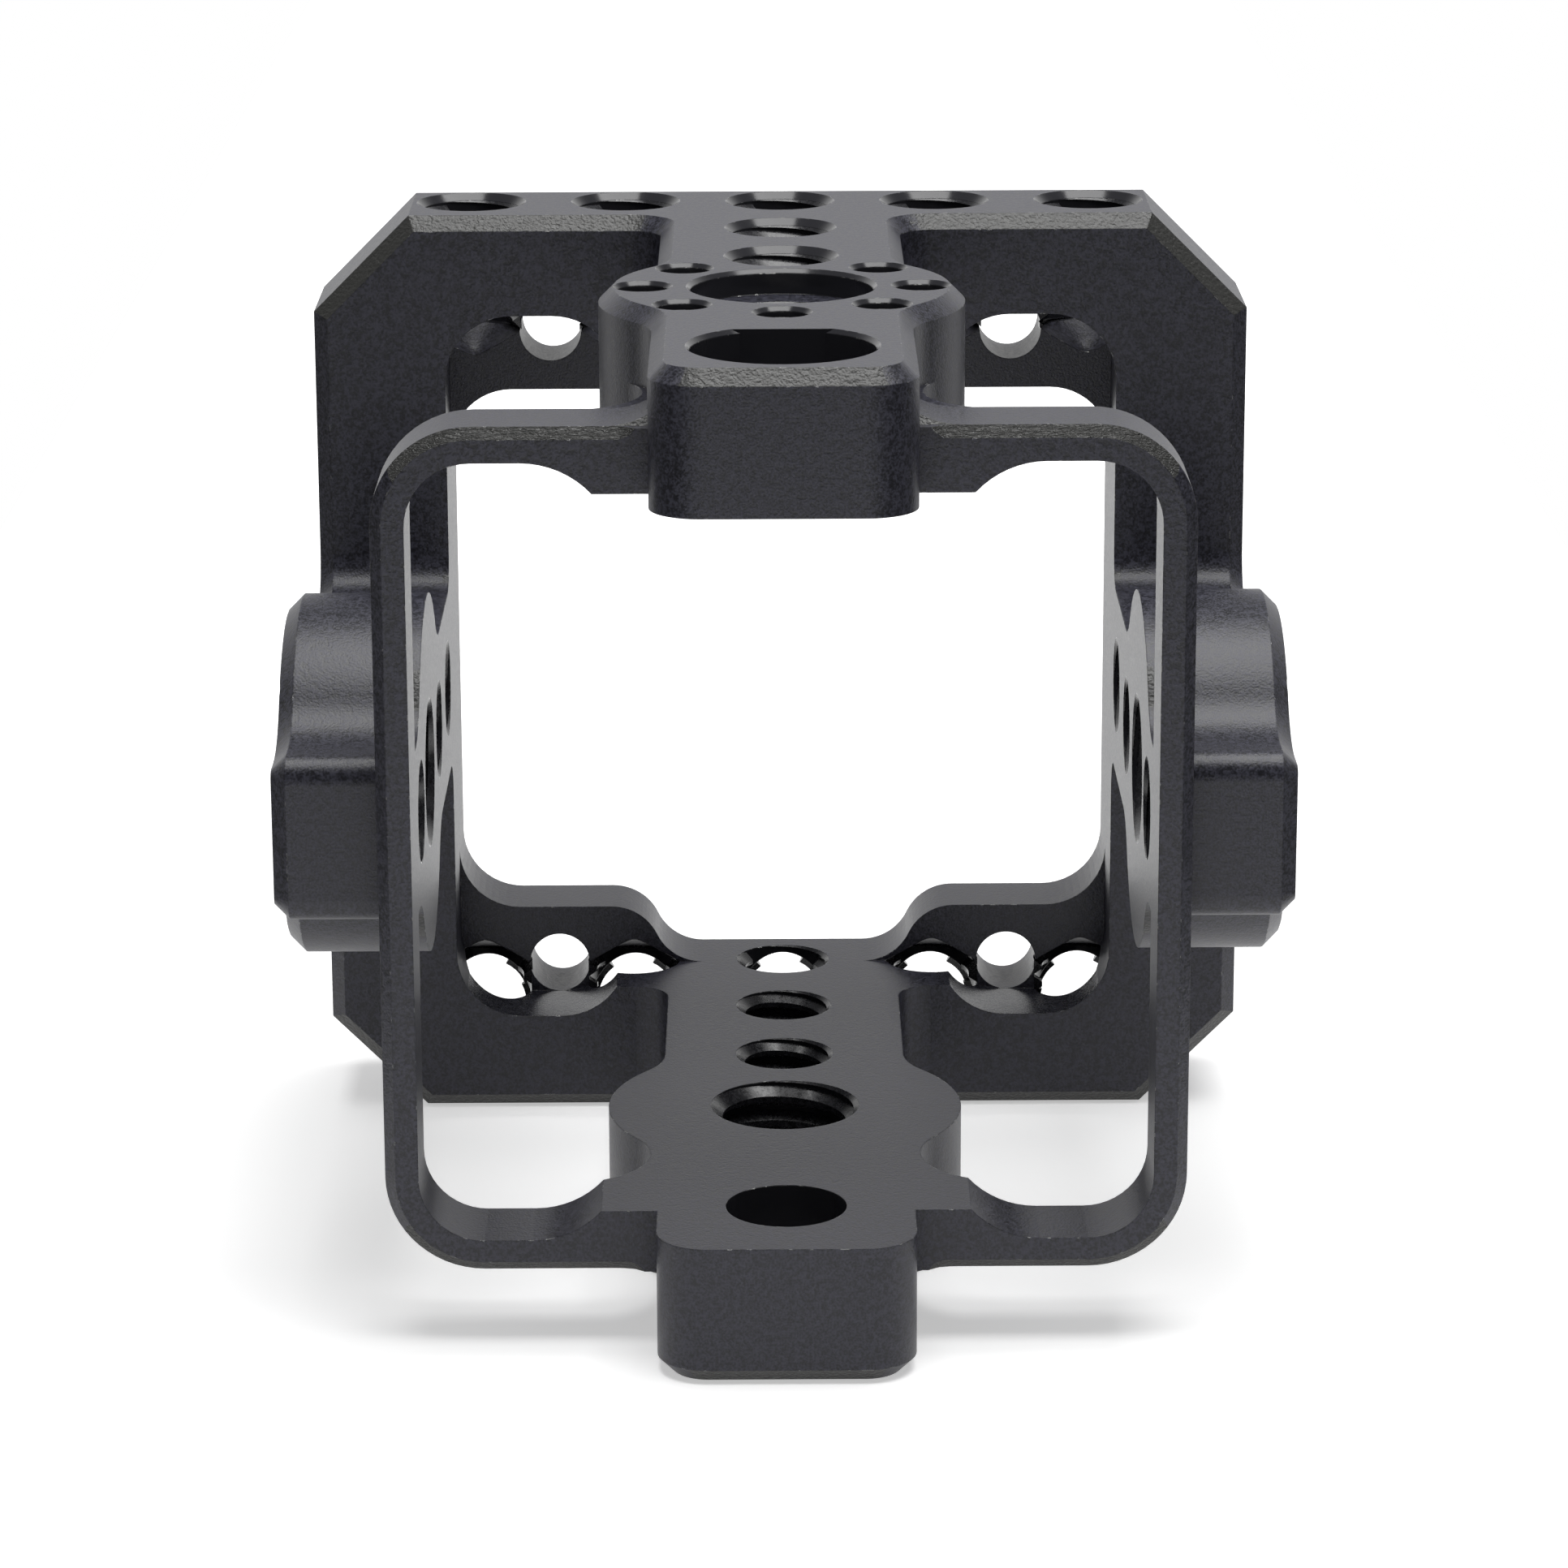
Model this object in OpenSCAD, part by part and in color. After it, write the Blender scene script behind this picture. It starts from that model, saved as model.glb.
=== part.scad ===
// Camera cage: a slotted front frame and an eight-sided rear frame, joined by
// four drilled rails. The camera slides into the square bay from the front and
// is screwed to four ears at the back. +Y points to the back, +Z points up, and
// the origin is at the middle of the underside.

/* [Overall] */
// Width over the outer faces of the side rails
cage_w = 60; // [58:0.5:72]
// Depth from the front of the blocks to the back face
cage_l = 60; // [58:0.5:66]
// Height over the outer faces of the top and bottom rails
cage_h = 60; // [58:0.5:72]
// Thickness of every rail, and of the rear frame around the bay
wall = 8.4; // [7.8:0.1:9.6]
// Bevel round the outward edges of rails, blocks and rear frame
edge_bevel = 0.9; // [0.5:0.1:1.1]

/* [Rear frame] */
// Depth of the rear frame
frame_l = 10.5; // [10:0.25:12]
// Leg of its four slanted corners
frame_corner = 6.2; // [3:0.1:6.2]
// Thickness of the ears that the camera is screwed to
ear_l = 5; // [3.5:0.1:5.5]
// How far the ears reach into the bay
ear_reach = 3.9; // [3:0.1:5]
// Width of the straight edge between two ears
ear_floor_w = 10.8; // [8:0.1:14]
// Length over which an ear curves down to that edge
ear_run = 6.1; // [4:0.1:6.5]
// Radius in the corners of the back opening
ear_corner_r = 4; // [2:0.1:6]
// Diameter of the camera screw holes
ear_hole_d = 4; // [3:0.1:4.6]
// Depth of the pockets in front of the ears, cut into the wall
pocket_cut = 2; // [1:0.1:2.6]
// Width of a pocket
pocket_w = 11.2; // [10.2:0.1:14]
// Radius in the corners of a pocket
pocket_r = 4.3; // [2:0.1:5]

/* [Front frame] */
// Distance from the front of the blocks back to the ring
ring_setback = 6.5; // [5:0.1:7]
// Depth of the ring
ring_l = 5.5; // [4.5:0.1:6.5]
// Thickness of the ring's band
ring_wall = 2; // [1.5:0.1:3]
// Extra room above and below the bay inside the ring
ring_rise = 1.8; // [1:0.1:2.5]
// Radius round the outside of the ring's corners
ring_corner_r = 5.8; // [4:0.1:8]
// Bevel round the ring's front edge
ring_bevel = 0.65; // [0.3:0.05:0.9]
// Distance from the middle to the end of that bevel above and below
ring_bevel_end = 9.5; // [9:0.1:10.2]
// Width of the flange that joins a block to the ring
flange_w = 21.8; // [20:0.1:24]
// Radius from the flange's end to the ring's band
flange_blend_r = 5.5; // [3:0.1:8]
// Radius of the fillet between a block and the outside of the ring
block_fillet_r = 5.5; // [3:0.1:8]
// Height of that fillet at the block
block_fillet_h = 0.6; // [0.3:0.05:1]
// Radius of the upright front corners of the blocks
block_corner_r = 3; // [1.5:0.1:4]

/* [Rails] */
// Width of the top and bottom rails and of the blocks
rail_w = 15.2; // [14:0.1:17]
// Height of the side rails
side_rail_w = 11.6; // [11:0.1:14]
// Diameter of the round boss on each rail
boss_d = 21.9; // [20.8:0.1:24]
// Height of the lug in front of each side boss
lug_w = 10; // [9:0.1:11]
// Distance from the front of the blocks back to the lugs
lug_setback = 10; // [9.6:0.1:10.6]
// Radius of the lug's front corners
lug_corner_r = 1.5; // [1.2:0.1:2.5]
// Blend between a boss and the rail or block beside it
blend_r = 5.1; // [3:0.1:6]
// Blend between a boss and the corner of the flange
notch_r = 5.1; // [4.2:0.1:6]
// Fillet where a rail meets the rear frame
root_r = 2.2; // [1.2:0.1:3]

/* [Accessory holes] */
// Distance between the holes along the rails and the rear frame
hole_pitch = 10; // [9.6:0.1:10.4]
// Distance from the back face to the first row of holes
row_setback = 4.5; // [4.1:0.1:5]
// Bore of the quarter inch holes
quarter_d = 6.2; // [5.8:0.1:6.4]
// Mouth of the quarter inch holes
quarter_mouth_d = 7.1; // [6.8:0.05:7.4]
// Depth of the quarter inch holes in the back face
back_hole_l = 5.5; // [4.8:0.1:6]
// Mouth of those holes
back_mouth_d = 6.6; // [6.5:0.05:7]
// How far they lie from the middle of the wall towards the bay
back_hole_shift = 0.6; // [0:0.1:0.6]
// Bore of the three eighths inch holes
large_d = 9.2; // [8.8:0.1:9.6]
// Mouth of the three eighths inch holes
large_mouth_d = 10.6; // [10:0.1:10.8]
// Diameter of the recess in the top boss
recess_d = 10.9; // [10:0.1:11.3]
// Depth of that recess
recess_t = 1.55; // [0.8:0.05:2]
// Bevel round the rims of the wide recesses
recess_bevel = 0.25; // [0.1:0.05:0.4]
// Distance from the front face back to the hole through each block
block_hole_setback = 7.3; // [6.8:0.1:7.6]
// Diameter of the hole through each block
block_hole_d = 7.15; // [6.4:0.05:8]
// Diameter of its recess in the outer face
block_recess_d = 10.6; // [9:0.1:11]
// Depth of that recess
block_recess_t = 4.2; // [2:0.1:5]
// Distance from the boss centre forward to the hole in each side lug
lug_hole_step = 8.8; // [8.6:0.1:9]
// Diameter of the circle of small holes round each boss
circle_d = 16.6; // [15.8:0.1:17]
// Diameter of the small holes
small_hole_d = 3.1; // [2.5:0.1:3.4]
// Mouth of the small holes
small_mouth_d = 3.6; // [3.5:0.05:3.8]
// Depth of the small holes
small_hole_l = 6; // [3:0.5:7]

/* [Joints] */
// Length of the tenon that enters the rear frame
tenon_l = 4.5; // [4:0.1:5]
// Thickness of the tenon
tenon_t = 4.2; // [3.4:0.1:4.6]
// Width of the tenon on the top and bottom rails
tenon_w = 12.6; // [12:0.1:13]
// Width of the tenon on the side rails
side_tenon_w = 10; // [9.4:0.1:10.8]
// Thread diameter of the tenon screws
screw_d = 2.5; // [2:0.1:2.6]
// Head diameter of the tenon screws
screw_head_d = 4.7; // [4:0.1:4.8]
// Length of the tenon screws over all
screw_l = 5.4; // [4:0.1:5.6]
// Size of the hexagon socket over its corners
socket_d = 1.75; // [1.4:0.05:2]
// Depth of the hexagon socket
socket_l = 0.9; // [0.5:0.1:1.2]
// Distance from the seam back to the tenon screws
screw_step = 2.2; // [2:0.1:2.4]
// Distance between the two tenon screws of the top and bottom rails
screw_pitch = 10; // [9.6:0.1:10.2]
// Distance between the two tenon screws of the side rails
side_screw_pitch = 5.2; // [5:0.1:5.4]
// Diameter of the dowel pins of the top and bottom rails
dowel_d = 2; // [1.6:0.1:2.1]
// Distance between those two dowels
dowel_pitch = 13.4; // [13.1:0.1:13.5]
// Length of those dowels in the front frame
dowel_front_l = 3; // [2:0.1:3.4]
// Length of those dowels in the rail
dowel_back_l = 5; // [3:0.1:5.2]
// Diameter of the dowel pins of the side rails
side_dowel_d = 1.5; // [1:0.1:1.6]
// Distance between those two dowels
side_dowel_pitch = 7; // [6.8:0.1:7.2]
// Length of those dowels in the front frame
side_dowel_front_l = 1.5; // [1:0.1:1.6]
// Length of those dowels in the rail
side_dowel_back_l = 2.3; // [2:0.1:2.4]
// Gap round each part that is set into a hole
fit_gap = 0.04; // [0.02:0.01:0.06]

/* [Hidden] */
$fn = 96;
aluminium = [0.14, 0.14, 0.16];
dark_steel = [0.2, 0.2, 0.21];
bright_steel = [0.62, 0.63, 0.65];

// How far a cut runs past the face it leaves
overrun = 0.5;
// How far a blend runs into the bodies it joins
blend_bite = 0.3;
// How far the low webs stop short of the corners of the flange
web_inset = 0.02;

front_y = -cage_l / 2;
back_y = cage_l / 2;
frame_y = back_y - frame_l;
ring_y = front_y + ring_setback;
seam_y = ring_y + ring_l;
row_y = back_y - row_setback;
boss_y = row_y - 3 * hole_pitch;
rail_hole_ys = [row_y - hole_pitch, row_y - 2 * hole_pitch];
block_hole_y = front_y + block_hole_setback;
lug_y = front_y + lug_setback;
lug_hole_y = boss_y - lug_hole_step;
mid_z = cage_h / 2;
bay_w = cage_w - 2 * wall;
bay_h = cage_h - 2 * wall;
boss_r = boss_d / 2;
band_z = ring_rise + ring_wall;
band_mid_z = ring_rise + ring_wall / 2;
ring_w = bay_w + 2 * ring_wall;
ring_h = bay_h + 2 * band_z;
row_steps = [-2, -1, 0, 1, 2];
ear_hole_x = 1.5 * hole_pitch;
drill_tip_slope = tan(31);

// Point at a distance and angle from a centre
function polar(c, r, a) = c + r * [cos(a), sin(a)];

// Angle from one point to another
function heading(p, q) = atan2(q[1] - p[1], q[0] - p[0]);

// Points along an arc
function arc(c, r, a, b) = [for (i = [0:12]) polar(c, r, a + (b - a) * i / 12)];

// Point at distance r from p and s from q, to the right of the way from p to q
function meet(p, r, q, s) =
    let (d = norm(q - p))
    let (a = acos((d * d + r * r - s * s) / (2 * d * r)))
    polar(p, r, heading(p, q) - a + 2 * a);

// Each side of the cage is drawn lying on the bay: X across it, Y to the back
// and Z out from the bay's face.
module on_top() translate([0, 0, cage_h - wall]) children();
module on_bottom() translate([0, 0, wall]) mirror([0, 0, 1]) children();
module on_right() translate([cage_w / 2 - wall, 0, mid_z]) rotate([0, 90, 0]) children();
module on_left() mirror([1, 0, 0]) on_right() children();

// Both halves of what is drawn for positive X
module both_sides() {
    children();
    mirror([1, 0, 0]) children();
}

// Outline of a plate with a bevel along its two upper edges
module bevel_profile(a, b, t, bevel)
    polygon([
        [a, 0], [b, 0], [b, t - bevel], [b - bevel, t], [a + bevel, t], [a, t - bevel]
    ]);

// Round plate with a bevelled upper edge
module puck(r, t, bevel) {
    cylinder(h = t - bevel, r = r);
    translate([0, 0, t - bevel]) cylinder(h = bevel, r1 = r, r2 = r - bevel);
}

// Plate from y = a to y = b with round corners and a bevelled upper edge
module bevel_plate(w, a, b, r, t, bevel) {
    translate([r - w / 2, 0, 0])
        rotate([90, 0, 90])
            linear_extrude(w - 2 * r) bevel_profile(a, b, t, bevel);
    translate([0, b - r, 0])
        rotate([90, 0, 0])
            linear_extrude(b - a - 2 * r) bevel_profile(-w / 2, w / 2, t, bevel);
    for (x = [r - w / 2, w / 2 - r])
        for (y = [a + r, b - r])
            translate([x, y, 0]) puck(r, t, bevel);
}

// Hollow corner of radius r round c, from angle a to angle b. The inner points
// lie in the two bodies that it joins.
module blend(c, r, a, b, inner, t, bevel) {
    reach = r + bevel + blend_bite;
    difference() {
        linear_extrude(t) polygon(concat([c, polar(c, reach, a)], inner, [polar(c, reach, b)]));
        translate([c[0], c[1], -overrun]) cylinder(h = t + 2 * overrun, r = r);
        if (bevel > 0)
            translate([c[0], c[1], t - bevel])
                cylinder(h = bevel + overrun, r1 = r, r2 = r + bevel + overrun);
    }
}

// Blends between the boss and a bar of width w, on the side that way points to
module boss_blends(w, way) {
    x = w / 2 + blend_r;
    y = boss_y + way * sqrt(pow(boss_r + blend_r, 2) - x * x);
    both_sides()
        blend([x, y], blend_r, 180, heading([x, y], [0, boss_y]), [[0, y], [0, boss_y]],
            wall, edge_bevel);
}

// Fillets between a rail of width w and the rear frame
module root_blends(w) {
    c = [w / 2 + root_r, frame_y - root_r];
    both_sides() blend(c, root_r, 180, 90, [[0, c[1]], [0, frame_y + frame_l / 2]], wall, edge_bevel);
}

// Low webs between the boss and the corners of the flange
module flange_webs() {
    corner = [flange_w / 2 - web_inset, seam_y];
    c = meet([0, boss_y], boss_r + notch_r, corner, notch_r);
    both_sides()
        blend(c, notch_r, heading(c, [0, boss_y]), heading(c, corner),
            [[0, boss_y], [0, seam_y - blend_bite]], band_z, 0);
}

// Top or bottom arm from the front of the block into the rear frame
module long_arm() {
    bevel_plate(rail_w, front_y, frame_y + frame_l / 2, block_corner_r, wall, edge_bevel);
    translate([0, boss_y, 0]) puck(boss_r, wall, edge_bevel);
    boss_blends(rail_w, 1);
    boss_blends(rail_w, -1);
    root_blends(rail_w);
    flange_webs();
}

// Side arm from the front of the lug into the rear frame
module side_arm() {
    bevel_plate(side_rail_w, boss_y, frame_y + frame_l / 2, lug_corner_r, wall, edge_bevel);
    bevel_plate(lug_w, lug_y, boss_y, lug_corner_r, wall, edge_bevel);
    translate([0, boss_y, 0]) puck(boss_r, wall, edge_bevel);
    boss_blends(side_rail_w, 1);
    boss_blends(lug_w, -1);
    root_blends(side_rail_w);
}

// The part of an arm between two depths
module between(a, b) {
    intersection() {
        children();
        translate([-boss_d, a, -overrun]) cube([2 * boss_d, b - a, wall + 2 * overrun]);
    }
}

// Tongue of a rail that enters the rear frame, with a gap when it is cut out
module tenon(w, gap)
    translate([-w / 2 - gap, frame_y - overrun, (wall - tenon_t) / 2 - gap])
        cube([w + 2 * gap, tenon_l + overrun + gap, tenon_t + 2 * gap]);

// Place of a tenon screw, on side -1 or 1 of the rail
module at_screw(side, pitch) translate([side * pitch / 2, frame_y + screw_step, 0]) children();

module at_screws(pitch)
    for (side = [-1, 1])
        at_screw(side, pitch) children();

// Drawn from the outer face inwards instead of from the bay outwards
module from_outside() translate([0, 0, wall]) mirror([0, 0, 1]) children();

// Hole for the shank of a tenon screw
module screw_bore() translate([0, 0, -overrun]) cylinder(h = wall, d = screw_d + 2 * fit_gap);

// Countersink and passage for a tenon screw through the frame's skin
module screw_seat() {
    skin = (wall - tenon_t) / 2;
    sink = (screw_head_d - screw_d) / 2;
    translate([0, 0, -overrun])
        cylinder(h = skin + overrun + fit_gap, d = screw_d + 2 * fit_gap);
    translate([0, 0, -overrun])
        cylinder(h = overrun + fit_gap, d = screw_head_d + 2 * fit_gap);
    translate([0, 0, fit_gap])
        cylinder(h = sink, d1 = screw_head_d + 2 * fit_gap, d2 = screw_d + 2 * fit_gap);
}

// Countersunk screw with its head flush at z = 0
module tenon_screw() {
    sink = (screw_head_d - screw_d) / 2;
    difference() {
        union() {
            cylinder(h = sink, d1 = screw_head_d, d2 = screw_d);
            translate([0, 0, sink]) cylinder(h = screw_l - sink, d = screw_d);
        }
        translate([0, 0, -overrun]) cylinder(h = socket_l + overrun, d = socket_d, $fn = 6);
    }
}

// Dowel across the front seam, with a gap when it is cut out
module dowel(x, d, front_l, back_l, gap)
    translate([x, seam_y + back_l + gap, wall / 2])
        rotate([90, 0, 0]) cylinder(h = front_l + back_l + 2 * gap, d = d + 2 * gap);

module long_dowel(side, gap)
    dowel(side * dowel_pitch / 2, dowel_d, dowel_front_l, dowel_back_l, gap);
module side_dowel(side, gap)
    dowel(side * side_dowel_pitch / 2, side_dowel_d, side_dowel_front_l, side_dowel_back_l, gap);

module long_dowel_holes() for (side = [-1, 1]) long_dowel(side, fit_gap);
module side_dowel_holes() for (side = [-1, 1]) side_dowel(side, fit_gap);

// Tapped hole from the bay to the outer face, countersunk outside
module tapped_hole(y, d, mouth_d) {
    mouth = (mouth_d - d) / 2;
    translate([0, y, -overrun]) cylinder(h = wall + 2 * overrun, d = d);
    translate([0, y, wall - mouth])
        cylinder(h = mouth + overrun, d1 = d, d2 = mouth_d + 2 * overrun);
}

// Flat-bottomed recess in the outer face, bevelled round its rim
module recess(y, d, t) {
    cut = recess_bevel + overrun;
    translate([0, y, wall - t]) cylinder(h = t + overrun, d = d);
    translate([0, y, wall - recess_bevel]) cylinder(h = cut, d1 = d, d2 = d + 2 * cut);
}

// Plain hole through a block, with its recess
module block_hole() {
    translate([0, block_hole_y, -overrun]) cylinder(h = wall, d = block_hole_d);
    recess(block_hole_y, block_recess_d, block_recess_t);
}

// Small blind holes round the boss, at the given eighths of a turn
module small_holes(eighths) {
    mouth = (small_mouth_d - small_hole_d) / 2;
    for (i = eighths)
        translate(concat(polar([0, boss_y], circle_d / 2, 45 * i), [wall])) {
            translate([0, 0, -small_hole_l])
                cylinder(h = small_hole_l + overrun, d = small_hole_d);
            translate([0, 0, -mouth])
                cylinder(h = mouth + overrun, d1 = small_hole_d, d2 = small_mouth_d + 2 * overrun);
        }
}

// Quarter inch holes of the rear frame, drilled from the outer face to the bay
module row_holes(steps) {
    tip_l = quarter_d / 2 * drill_tip_slope;
    mouth = (quarter_mouth_d - quarter_d) / 2;
    for (i = steps)
        translate([i * hole_pitch, row_y, 0]) {
            cylinder(h = wall + overrun, d = quarter_d);
            translate([0, 0, wall - mouth])
                cylinder(h = mouth + overrun, d1 = quarter_d, d2 = quarter_mouth_d + 2 * overrun);
            translate([0, 0, -tip_l]) cylinder(h = tip_l, d1 = 0, d2 = quarter_d);
        }
}

// Quarter inch holes in the back face, which meet the row above
module back_holes() {
    mouth = (back_mouth_d - quarter_d) / 2;
    for (i = row_steps)
        translate([i * hole_pitch, back_y, wall / 2 - back_hole_shift])
            rotate([90, 0, 0]) {
                cylinder(h = back_hole_l, d = quarter_d);
                translate([0, 0, -overrun])
                    cylinder(h = mouth + overrun, d1 = back_mouth_d + 2 * overrun, d2 = quarter_d);
            }
}

// Flat shape of the front or back, seen along Y, drawn round the bay's centre
module upright(y, l) translate([0, y + l, mid_z]) rotate([90, 0, 0]) linear_extrude(l) children();

module octagon() {
    x = cage_w / 2;
    z = cage_h / 2;
    k = frame_corner;
    polygon([
        [x, z - k], [x - k, z], [k - x, z], [-x, z - k],
        [-x, k - z], [k - x, -z], [x - k, -z], [x, k - z]
    ]);
}

// Eight-sided plate with both of its outer edges bevelled
module frame_blank() {
    slant = (cage_w / 2 + cage_h / 2 - frame_corner) / sqrt(2);
    faces = [cage_w / 2, slant, cage_h / 2, slant];
    difference() {
        upright(frame_y, frame_l) octagon();
        for (i = [0:7])
            for (y = [frame_y, back_y])
                translate([0, y, mid_z])
                    rotate([0, 45 * i, 0])
                        translate([faces[i % 4], 0, 0])
                            rotate([0, 0, 45])
                                cube(
                                    [sqrt(2) * edge_bevel, sqrt(2) * edge_bevel, cage_w + cage_h],
                                    center = true
                                );
    }
}

module round_square(w, h, r) {
    square([w, h - 2 * r], center = true);
    square([w - 2 * r, h], center = true);
    for (x = [r - w / 2, w / 2 - r])
        for (y = [r - h / 2, h / 2 - r])
            translate([x, y]) circle(r = r);
}

// Opening of the rear frame in front of the ears
module bay_opening() {
    square([bay_w, bay_h - 2 * pocket_r], center = true);
    square([bay_w - pocket_w, bay_h], center = true);
    for (x = [-1, 1])
        for (z = [-1, 1])
            translate([x * (bay_w - pocket_w) / 2, z * (bay_h / 2 + pocket_cut - pocket_w / 2)])
                round_square(pocket_w, pocket_w, pocket_r);
}

// Edge of the back opening, from the middle of its top to the middle of its side
function ear_edge() =
    let (turn = 2 * atan(ear_reach / ear_run))
    let (r = ear_run / 2 / sin(turn))
    let (x = ear_floor_w / 2)
    let (low = bay_h / 2 - ear_reach)
    let (side = bay_w / 2 - ear_corner_r)
    concat(
        arc([x, bay_h / 2 - r], r, 90, 90 - turn),
        arc([x + ear_run, low + r], r, 270 - turn, 270),
        arc([side, low - ear_corner_r], ear_corner_r, 90, 0)
    );

function reversed(list) = [for (i = [len(list) - 1:-1:0]) list[i]];
function scaled(list, s) = [for (p = list) [p[0] * s[0], p[1] * s[1]]];

// Opening between the ears at the back
module ear_opening()
    polygon(concat(
        ear_edge(),
        reversed(scaled(ear_edge(), [1, -1])),
        scaled(ear_edge(), [-1, -1]),
        reversed(scaled(ear_edge(), [-1, 1]))
    ));

// Foot of an arm, which carries the rail's outline into the frame's bevel
module foot() between(frame_y, frame_y + 2 * edge_bevel) children();

module rear_frame()
    color(aluminium)
    difference() {
        union() {
            frame_blank();
            on_top() foot() long_arm();
            on_bottom() foot() long_arm();
            on_right() foot() side_arm();
            on_left() foot() side_arm();
        }
        upright(frame_y - overrun, frame_l + overrun - ear_l) bay_opening();
        upright(back_y - ear_l - overrun, ear_l + 2 * overrun) ear_opening();
        upright(back_y - ear_l - overrun, ear_l + 2 * overrun)
            for (x = [-ear_hole_x, ear_hole_x])
                for (z = [-bay_h / 2, bay_h / 2])
                    translate([x, z]) circle(d = ear_hole_d);
        on_top() frame_cuts(tenon_w) at_screws(screw_pitch) screw_seat();
        on_bottom() frame_cuts(tenon_w) at_screws(screw_pitch) from_outside() screw_seat();
        on_top() back_holes();
        on_bottom() back_holes();
        on_top() row_holes(row_steps);
        on_bottom() row_holes(row_steps);
        on_right() frame_cuts(side_tenon_w) at_screws(side_screw_pitch) from_outside() screw_seat();
        on_left() frame_cuts(side_tenon_w) at_screws(side_screw_pitch) from_outside() screw_seat();
    }

// Mortise for a tenon of width w, with its screw seats
module frame_cuts(w) {
    tenon(w, fit_gap);
    children();
}

// How far a fillet of radius r runs along while it rises by h
function fillet_run(r, h) = sqrt(pow(r, 2) - pow(r - h, 2));

// Flat shapes that tie the flange to the ring, drawn from the bay's face outwards
module flange_ties() {
    run = fillet_run(flange_blend_r, ring_rise);
    translate([-flange_w / 2, 0]) square([flange_w, band_mid_z]);
    both_sides()
        difference() {
            translate([flange_w / 2 - blend_bite, 0]) square([run + blend_bite, band_mid_z]);
            translate([flange_w / 2 + run, ring_rise - flange_blend_r]) circle(r = flange_blend_r);
        }
}

// Fillets between a block and the outside of the ring
module block_fillets() {
    run = fillet_run(block_fillet_r, block_fillet_h);
    top_z = band_z + block_fillet_h;
    y = ring_y + ring_bevel;
    both_sides()
        difference() {
            translate([rail_w / 2 - blend_bite, 0, 0])
                rotate([90, 0, 90])
                    linear_extrude(run + blend_bite)
                        polygon([
                            [y, band_mid_z], [seam_y, band_mid_z], [seam_y, top_z],
                            [y + block_fillet_h, top_z], [y, band_z]
                        ]);
            translate([rail_w / 2 + run, seam_y + overrun, band_z + block_fillet_r])
                rotate([90, 0, 0]) cylinder(h = ring_l + 2 * overrun, r = block_fillet_r);
        }
}

// Square edge of the ring beside a block, where its bevel runs out
module bevel_ends() {
    x = rail_w / 2 - blend_bite;
    both_sides()
        difference() {
            translate([x, ring_y, band_mid_z])
                cube([ring_bevel_end - x, ring_l / 2, band_z - band_mid_z]);
            translate([ring_bevel_end, ring_y + 2 * ring_bevel, band_z + ring_bevel])
                rotate([90, 0, 0])
                    cylinder(
                        h = 2 * ring_bevel + overrun,
                        r1 = 0,
                        r2 = 2 * ring_bevel + overrun
                    );
        }
}

// Block and flange of the front frame
module front_arm() {
    between(front_y, seam_y) long_arm();
    translate([0, seam_y, 0]) rotate([90, 0, 0]) linear_extrude(ring_l) flange_ties();
    block_fillets();
    bevel_ends();
}

module ring()
    difference() {
        translate([0, seam_y, mid_z])
            rotate([90, 0, 0])
                bevel_plate(ring_w, -ring_h / 2, ring_h / 2, ring_corner_r, ring_l, ring_bevel);
        upright(ring_y - overrun, ring_l + 2 * overrun)
            round_square(bay_w, ring_h - 2 * ring_wall, ring_corner_r - ring_wall);
    }

module front_frame()
    color(aluminium)
    difference() {
        union() {
            ring();
            on_top() front_arm();
            on_bottom() front_arm();
            on_right() between(lug_y, seam_y) side_arm();
            on_left() between(lug_y, seam_y) side_arm();
        }
        on_top() block_hole();
        on_bottom() block_hole();
        on_top() long_dowel_holes();
        on_bottom() long_dowel_holes();
        on_right() side_dowel_holes();
        on_left() side_dowel_holes();
    }

// Top or bottom rail between the two frames, with its tenon. The children are
// cut out of its boss.
module long_rail()
    difference() {
        union() {
            between(seam_y, frame_y) long_arm();
            tenon(tenon_w, 0);
        }
        for (y = rail_hole_ys) tapped_hole(y, quarter_d, quarter_mouth_d);
        small_holes([0, 1, 3, 4, 5, 6, 7]);
        row_holes([0]);
        long_dowel_holes();
        at_screws(screw_pitch) screw_bore();
        children();
    }

// Side rail between the two frames, with its tenon
module side_rail()
    difference() {
        union() {
            between(seam_y, frame_y) side_arm();
            tenon(side_tenon_w, 0);
        }
        for (y = rail_hole_ys) tapped_hole(y, quarter_d, quarter_mouth_d);
        tapped_hole(boss_y, large_d, large_mouth_d);
        tapped_hole(lug_hole_y, quarter_d, quarter_mouth_d);
        small_holes([0, 1, 3, 4, 5, 7]);
        side_dowel_holes();
        at_screws(side_screw_pitch) screw_bore();
    }

module top_rail()
    color(aluminium) on_top() long_rail() {
        tapped_hole(boss_y, quarter_d, quarter_mouth_d);
        recess(boss_y, recess_d, recess_t);
    }
module bottom_rail()
    color(aluminium) on_bottom() long_rail() tapped_hole(boss_y, large_d, large_mouth_d);
module left_rail() color(aluminium) on_left() side_rail();
module right_rail() color(aluminium) on_right() side_rail();

// The top rail's screws go in from the bay, the others from outside
module top_screw(side) color(dark_steel) on_top() at_screw(side, screw_pitch) tenon_screw();
module bottom_screw(side)
    color(dark_steel) on_bottom() at_screw(side, screw_pitch) from_outside() tenon_screw();
module left_screw(side)
    color(dark_steel) on_left() at_screw(side, side_screw_pitch) from_outside() tenon_screw();
module right_screw(side)
    color(dark_steel) on_right() at_screw(side, side_screw_pitch) from_outside() tenon_screw();

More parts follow.
